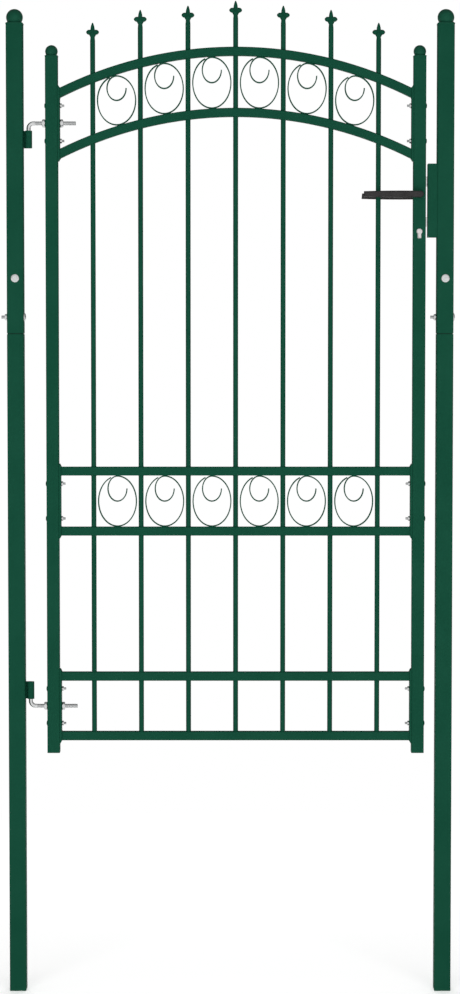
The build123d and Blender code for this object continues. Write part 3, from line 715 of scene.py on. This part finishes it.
def scroll_welds():
    """Two short beads where each scroll touches the rail above and the rail below it."""
    bm = bmesh.new()
    for node, panel in (("middle_scrolls", "middle"), ("arch_scrolls", "arch")):
        low, high = boxes[node]
        half_width = (high.x - low.x - picket_pitch * (len(picket_xs) - 2)) / 2
        for left_x in picket_xs[:-1]:
            x = left_x + picket_pitch / 2
            upper = rail_face(f"upper_{panel}_rail", -1, x)
            lower = rail_face(f"lower_{panel}_rail", 1, x)
            slope = 0.0
            if panel == "arch":
                slope = tan(asin((x - leaf_x) / arch_circle("upper_arch_rail")[0]))
            half_height = sqrt(max((upper - lower) ** 2 / 4 - (slope * half_width) ** 2, 0.0))
            reach = sqrt((half_width * slope) ** 2 + half_height**2)
            touch = half_width**2 * slope / reach
            for way, rail, face in ((1, "upper", -1), (-1, "lower", 1)):
                for offset in (-SCROLL_BEAD_OFFSET, SCROLL_BEAD_OFFSET):
                    at_x = x + way * touch + offset
                    at_z = rail_face(f"{rail}_{panel}_rail", face, at_x)
                    run = straight_run((at_x, low.y, at_z), (at_x, high.y, at_z))
                    bead(bm, run, Z_AXIS, closed=False)
    piece("scroll_welds", bm, "leaf", "green_coat")


def post_welds():
    """Seams of the hinge sockets and stitches of the keeper on the posts."""
    bm = bmesh.new()
    inner_x = post_boxes[0][1].x
    for node in ("upper_hinge_socket", "lower_hinge_socket"):
        low, high = boxes[node]
        for y in (high.y - SOCKET_WEB, high.y):
            seam = straight_run((inner_x, y, low.z), (inner_x, y, high.z))
            bead(bm, seam, X_AXIS, closed=False)
    low, high = boxes["lock_keeper"]
    stitch = (high.z - low.z) * KEEPER_STITCH_SHARE
    for y in (low.y, high.y):
        for start_z in (low.z, middle((low, high)).z - stitch / 2, high.z - stitch):
            run = straight_run((high.x, y, start_z), (high.x, y, start_z + stitch))
            bead(bm, run, X_AXIS, closed=False)
    piece("post_welds", bm, "posts", "green_coat")


post_bolts()
panel_bolts()
hinge_rod("upper_hinge_rod", "upper_threaded_rod")
hinge_rod("lower_hinge_rod", "lower_threaded_rod")
hinge_nuts()
forend_screws()
plug_rings()
rail_welds()
picket_welds()
scroll_welds()
post_welds()


# Studio

def white_to_eye(tree):
    """One for the rays that show the background: straight to the camera, mirrored or through glass."""
    path = tree.nodes.new("ShaderNodeLightPath")
    first = tree.nodes.new("ShaderNodeMath")
    first.operation = "MAXIMUM"
    second = tree.nodes.new("ShaderNodeMath")
    second.operation = "MAXIMUM"
    tree.links.new(path.outputs["Is Camera Ray"], first.inputs[0])
    tree.links.new(path.outputs["Is Glossy Ray"], first.inputs[1])
    tree.links.new(first.outputs[0], second.inputs[0])
    tree.links.new(path.outputs["Is Transmission Ray"], second.inputs[1])
    return second.outputs[0]


def reflected_light(tree):
    """What metal mirrors: a white front, greyer sides and a dark back."""
    place = tree.nodes.new("ShaderNodeTexCoord")
    parts = tree.nodes.new("ShaderNodeSeparateXYZ")
    tree.links.new(place.outputs["Generated"], parts.inputs[0])
    to_front = tree.nodes.new("ShaderNodeMapRange")
    to_front.inputs["From Min"].default_value = 0.0
    to_front.inputs["From Max"].default_value = -1.0
    to_front.inputs["To Min"].default_value = REFLECTED_SIDE
    to_front.inputs["To Max"].default_value = REFLECTED_FRONT
    tree.links.new(parts.outputs["Y"], to_front.inputs["Value"])
    to_back = tree.nodes.new("ShaderNodeMapRange")
    to_back.inputs["To Max"].default_value = REFLECTED_BACK - REFLECTED_SIDE
    tree.links.new(parts.outputs["Y"], to_back.inputs["Value"])
    total = tree.nodes.new("ShaderNodeMath")
    tree.links.new(to_front.outputs["Result"], total.inputs[0])
    tree.links.new(to_back.outputs["Result"], total.inputs[1])
    return total.outputs[0]


def studio_world():
    """White background with a softer light on the object."""
    world = bpy.data.worlds.new("studio")
    world.use_nodes = True
    scene.world = world
    tree = world.node_tree
    ambient = tree.nodes["Background"]
    ambient.inputs["Color"].default_value = WHITE
    ambient.inputs["Strength"].default_value = AMBIENT_STRENGTH
    white = tree.nodes.new("ShaderNodeBackground")
    white.inputs["Color"].default_value = WHITE
    path = tree.nodes.new("ShaderNodeLightPath")
    reflected = tree.nodes.new("ShaderNodeMix")
    tree.links.new(path.outputs["Is Glossy Ray"], reflected.inputs["Factor"])
    reflected.inputs["A"].default_value = 1.0
    tree.links.new(reflected_light(tree), reflected.inputs["B"])
    tree.links.new(reflected.outputs["Result"], white.inputs["Strength"])
    mix = tree.nodes.new("ShaderNodeMixShader")
    tree.links.new(white_to_eye(tree), mix.inputs["Fac"])
    tree.links.new(ambient.outputs[0], mix.inputs[1])
    tree.links.new(white.outputs[0], mix.inputs[2])
    tree.links.new(mix.outputs[0], tree.nodes["World Output"].inputs["Surface"])


def floor():
    """Pale floor, white to the eye; near the posts its own light is lifted, which keeps the shadow."""
    bm = bmesh.new()
    bmesh.ops.create_grid(bm, x_segments=FLOOR_SEGMENTS, y_segments=FLOOR_SEGMENTS, size=FLOOR_SIZE / 2)
    mesh = bpy.data.meshes.new("floor")
    bm.to_mesh(mesh)
    bm.free()
    ground = bpy.data.objects.new("floor", mesh)
    ground.location = (middle(cad_box).x, 0.0, cad_box[0].z)
    scene.collection.objects.link(ground)
    material, tree, shader = material_nodes("floor")
    colour = ramp(tree, noise(tree, FLOOR_CLOUD_SCALE), *FLOOR_GREYS)
    tree.links.new(colour, shader.inputs["Base Color"])
    shader.inputs["Roughness"].default_value = FLOOR_ROUGHNESS
    shader.inputs["Specular IOR Level"].default_value = 0.0
    white = tree.nodes.new("ShaderNodeEmission")
    lifted = tree.nodes.new("ShaderNodeBsdfDiffuse")
    lifted.inputs["Color"].default_value = (FLOOR_LIFT, FLOOR_LIFT, FLOOR_LIFT, 1.0)
    place = tree.nodes.new("ShaderNodeTexCoord")
    mapping = tree.nodes.new("ShaderNodeMapping")
    mapping.inputs["Scale"].default_value = (1 / SHADOW_REACH, 1 / SHADOW_REACH, 1 / SHADOW_REACH)
    near = tree.nodes.new("ShaderNodeTexGradient")
    near.gradient_type = "SPHERICAL"
    share = tree.nodes.new("ShaderNodeMath")
    share.operation = "MULTIPLY"
    share.inputs[1].default_value = SHADOW_SHARE
    shown = tree.nodes.new("ShaderNodeMixShader")
    mix = tree.nodes.new("ShaderNodeMixShader")
    tree.links.new(place.outputs["Object"], mapping.inputs["Vector"])
    tree.links.new(mapping.outputs["Vector"], near.inputs["Vector"])
    tree.links.new(near.outputs["Fac"], share.inputs[0])
    tree.links.new(share.outputs[0], shown.inputs["Fac"])
    tree.links.new(white.outputs[0], shown.inputs[1])
    tree.links.new(lifted.outputs[0], shown.inputs[2])
    tree.links.new(white_to_eye(tree), mix.inputs["Fac"])
    tree.links.new(shader.outputs[0], mix.inputs[1])
    tree.links.new(shown.outputs[0], mix.inputs[2])
    tree.links.new(mix.outputs[0], tree.nodes["Material Output"].inputs["Surface"])
    mesh.materials.append(material)
    ground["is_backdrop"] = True


def lamp(name, side_deg, watts):
    """Large soft lamp turned to the gate's middle; the angle runs from straight in front."""
    light = bpy.data.lights.new(name, "AREA")
    light.size = LAMP_SIZE
    light.energy = watts
    holder = bpy.data.objects.new(name, light)
    holder.visible_camera = False
    holder.visible_glossy = False
    target = middle(cad_box)
    side = radians(side_deg)
    place = target + LAMP_DISTANCE * Vector((sin(side), -cos(side), 0.0))
    place.z = LAMP_HEIGHT
    holder.location = place
    holder.rotation_euler = (target - place).to_track_quat("-Z", "Y").to_euler()
    scene.collection.objects.link(holder)


studio_world()
floor()
for lamp_name, lamp_side, lamp_watts in (
    ("front_left_lamp", -LAMP_SIDE_DEG, FRONT_LAMP_WATTS),
    ("front_right_lamp", LAMP_SIDE_DEG, FRONT_LAMP_WATTS),
    ("back_left_lamp", HALF_TURN_DEG + LAMP_SIDE_DEG, BACK_LAMP_WATTS),
    ("back_right_lamp", HALF_TURN_DEG - LAMP_SIDE_DEG, BACK_LAMP_WATTS),
):
    lamp(lamp_name, lamp_side, lamp_watts)

# Camera
camera = bpy.data.objects.new("camera", bpy.data.cameras.new("camera"))
camera.location = CAMERA_PLACE
camera.rotation_euler = (radians(CAMERA_TILT_DEG), 0.0, 0.0)
camera.data.lens = CAMERA_LENS_MM
camera.data.clip_end = FLOOR_SIZE * 2
scene.collection.objects.link(camera)
scene.camera = camera

boxes = {"cad": cad_box, "visual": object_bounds()}
